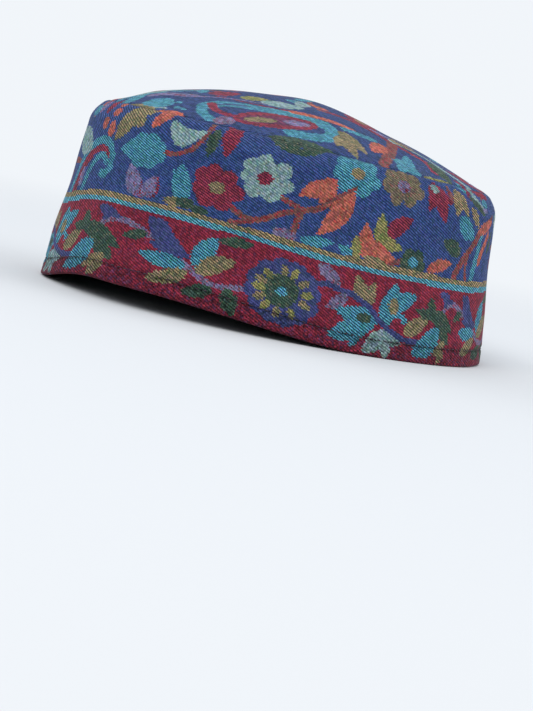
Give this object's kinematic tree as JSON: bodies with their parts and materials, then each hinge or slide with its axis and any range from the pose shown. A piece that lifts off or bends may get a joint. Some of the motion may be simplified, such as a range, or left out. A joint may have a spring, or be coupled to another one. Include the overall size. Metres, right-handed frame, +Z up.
{
  "type": "soft round cloth cap",
  "caption": "Soft round cap of patterned woven wool: upright side band with a floral border, low domed crown panel and a plain thin lining, open below for the head.",
  "frame": {"origin": "centre of the bounding box on the plane that the hem rests on", "axes": "+Z up through the crown, -Y towards the front of the cap, +X towards the wearer's left"},
  "size_m": [0.1648, 0.196, 0.0952],
  "materials": {
    "band_cloth": "matte woven wool, crimson border below and blue ground above with multicoloured flowers",
    "crown_cloth": "matte woven wool, blue ground with multicoloured paisleys and flowers",
    "lining_cloth": "plain matte weave, dark green"
  },
  "bodies": {
    "root": {"side_band": "band_cloth", "crown_panel": "crown_cloth", "lining": "lining_cloth"}
  },
  "joints": []
}
